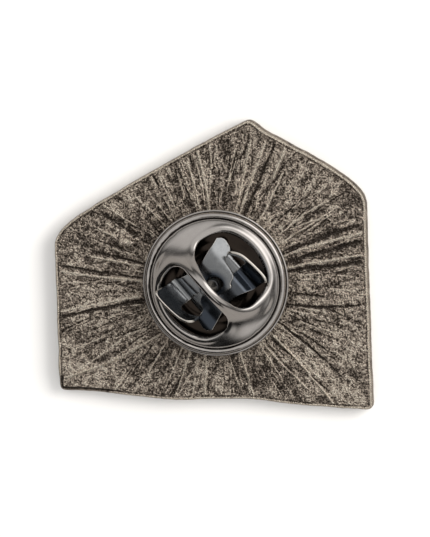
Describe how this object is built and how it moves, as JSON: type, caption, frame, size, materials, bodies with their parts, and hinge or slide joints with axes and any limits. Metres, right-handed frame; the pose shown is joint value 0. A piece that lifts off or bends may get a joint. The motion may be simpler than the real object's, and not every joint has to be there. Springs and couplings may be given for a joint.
{
  "type": "enamel pin",
  "caption": "House-shaped cast metal pin with recessed enamel cells on its face, a pointed post behind and a removable butterfly clutch.",
  "frame": {"origin": "centre of the plate's outline, on the front face that the pin lies on", "axes": "+Z from the enamelled front to the clutch on the back; +X along the plate's width and +Y towards its peak, seen from the back"},
  "size_m": [0.0252, 0.0228, 0.0074],
  "materials": {
    "antique_nickel": "cast, antique nickel plating rubbed back on the high spots",
    "nickel_plate": "bright nickel plating on pressed steel",
    "spring_steel": "smooth plated spring strip",
    "post_steel": "drawn and plated",
    "solder": "matt solder",
    "enamel_yellow": "glossy enamel",
    "enamel_orange": "glossy enamel",
    "enamel_cream": "glossy enamel",
    "enamel_sage": "glossy enamel",
    "enamel_green": "glossy enamel",
    "enamel_deep_green": "glossy enamel"
  },
  "bodies": {
    "pin": {"base_plate": "antique_nickel", "post": "post_steel", "solder_fillet": "solder", "enamel_sun": "enamel_yellow", "enamel_ray_1": "enamel_orange", "enamel_ray_2": "enamel_cream", "enamel_ray_3": "enamel_orange", "enamel_ray_4": "enamel_cream", "enamel_ray_5": "enamel_orange", "enamel_ray_6": "enamel_cream", "enamel_ray_7": "enamel_orange", "enamel_ray_8": "enamel_cream", "enamel_hill_far": "enamel_sage", "enamel_hill_middle": "enamel_green", "enamel_hill_near": "enamel_deep_green"},
    "clutch": {"clutch_base": "nickel_plate"},
    "cap": {"clutch_cap": "nickel_plate", "clip_bridge": "spring_steel"},
    "wing_a": {"clip_wing_a": "spring_steel"},
    "wing_b": {"clip_wing_b": "spring_steel"}
  },
  "joints": [
    {"name": "clutch_slide", "type": "slide", "parent": "pin", "child": "clutch", "axis": [0, 0, 1], "range_m": [0, 0.008]},
    {"name": "clutch_spin", "type": "hinge", "parent": "clutch", "child": "cap", "pos_m": [0.00047, -0.00108, 0.004], "axis": [0, 0, 1], "continuous": true},
    {"name": "wing_a_squeeze", "type": "slide", "parent": "cap", "child": "wing_a", "axis": [-0.766, -0.6428, 0], "range_m": [0, 0.0004], "stiffness_N_per_m": 500, "deforming": ["clip_bridge"]},
    {"name": "wing_b_squeeze", "type": "slide", "parent": "cap", "child": "wing_b", "axis": [0.766, 0.6428, 0], "range_m": [0, 0.0004], "stiffness_N_per_m": 500}
  ],
  "couplings": [
    {"joint": "wing_b_squeeze", "follows": "wing_a_squeeze", "ratio": 1}
  ]
}
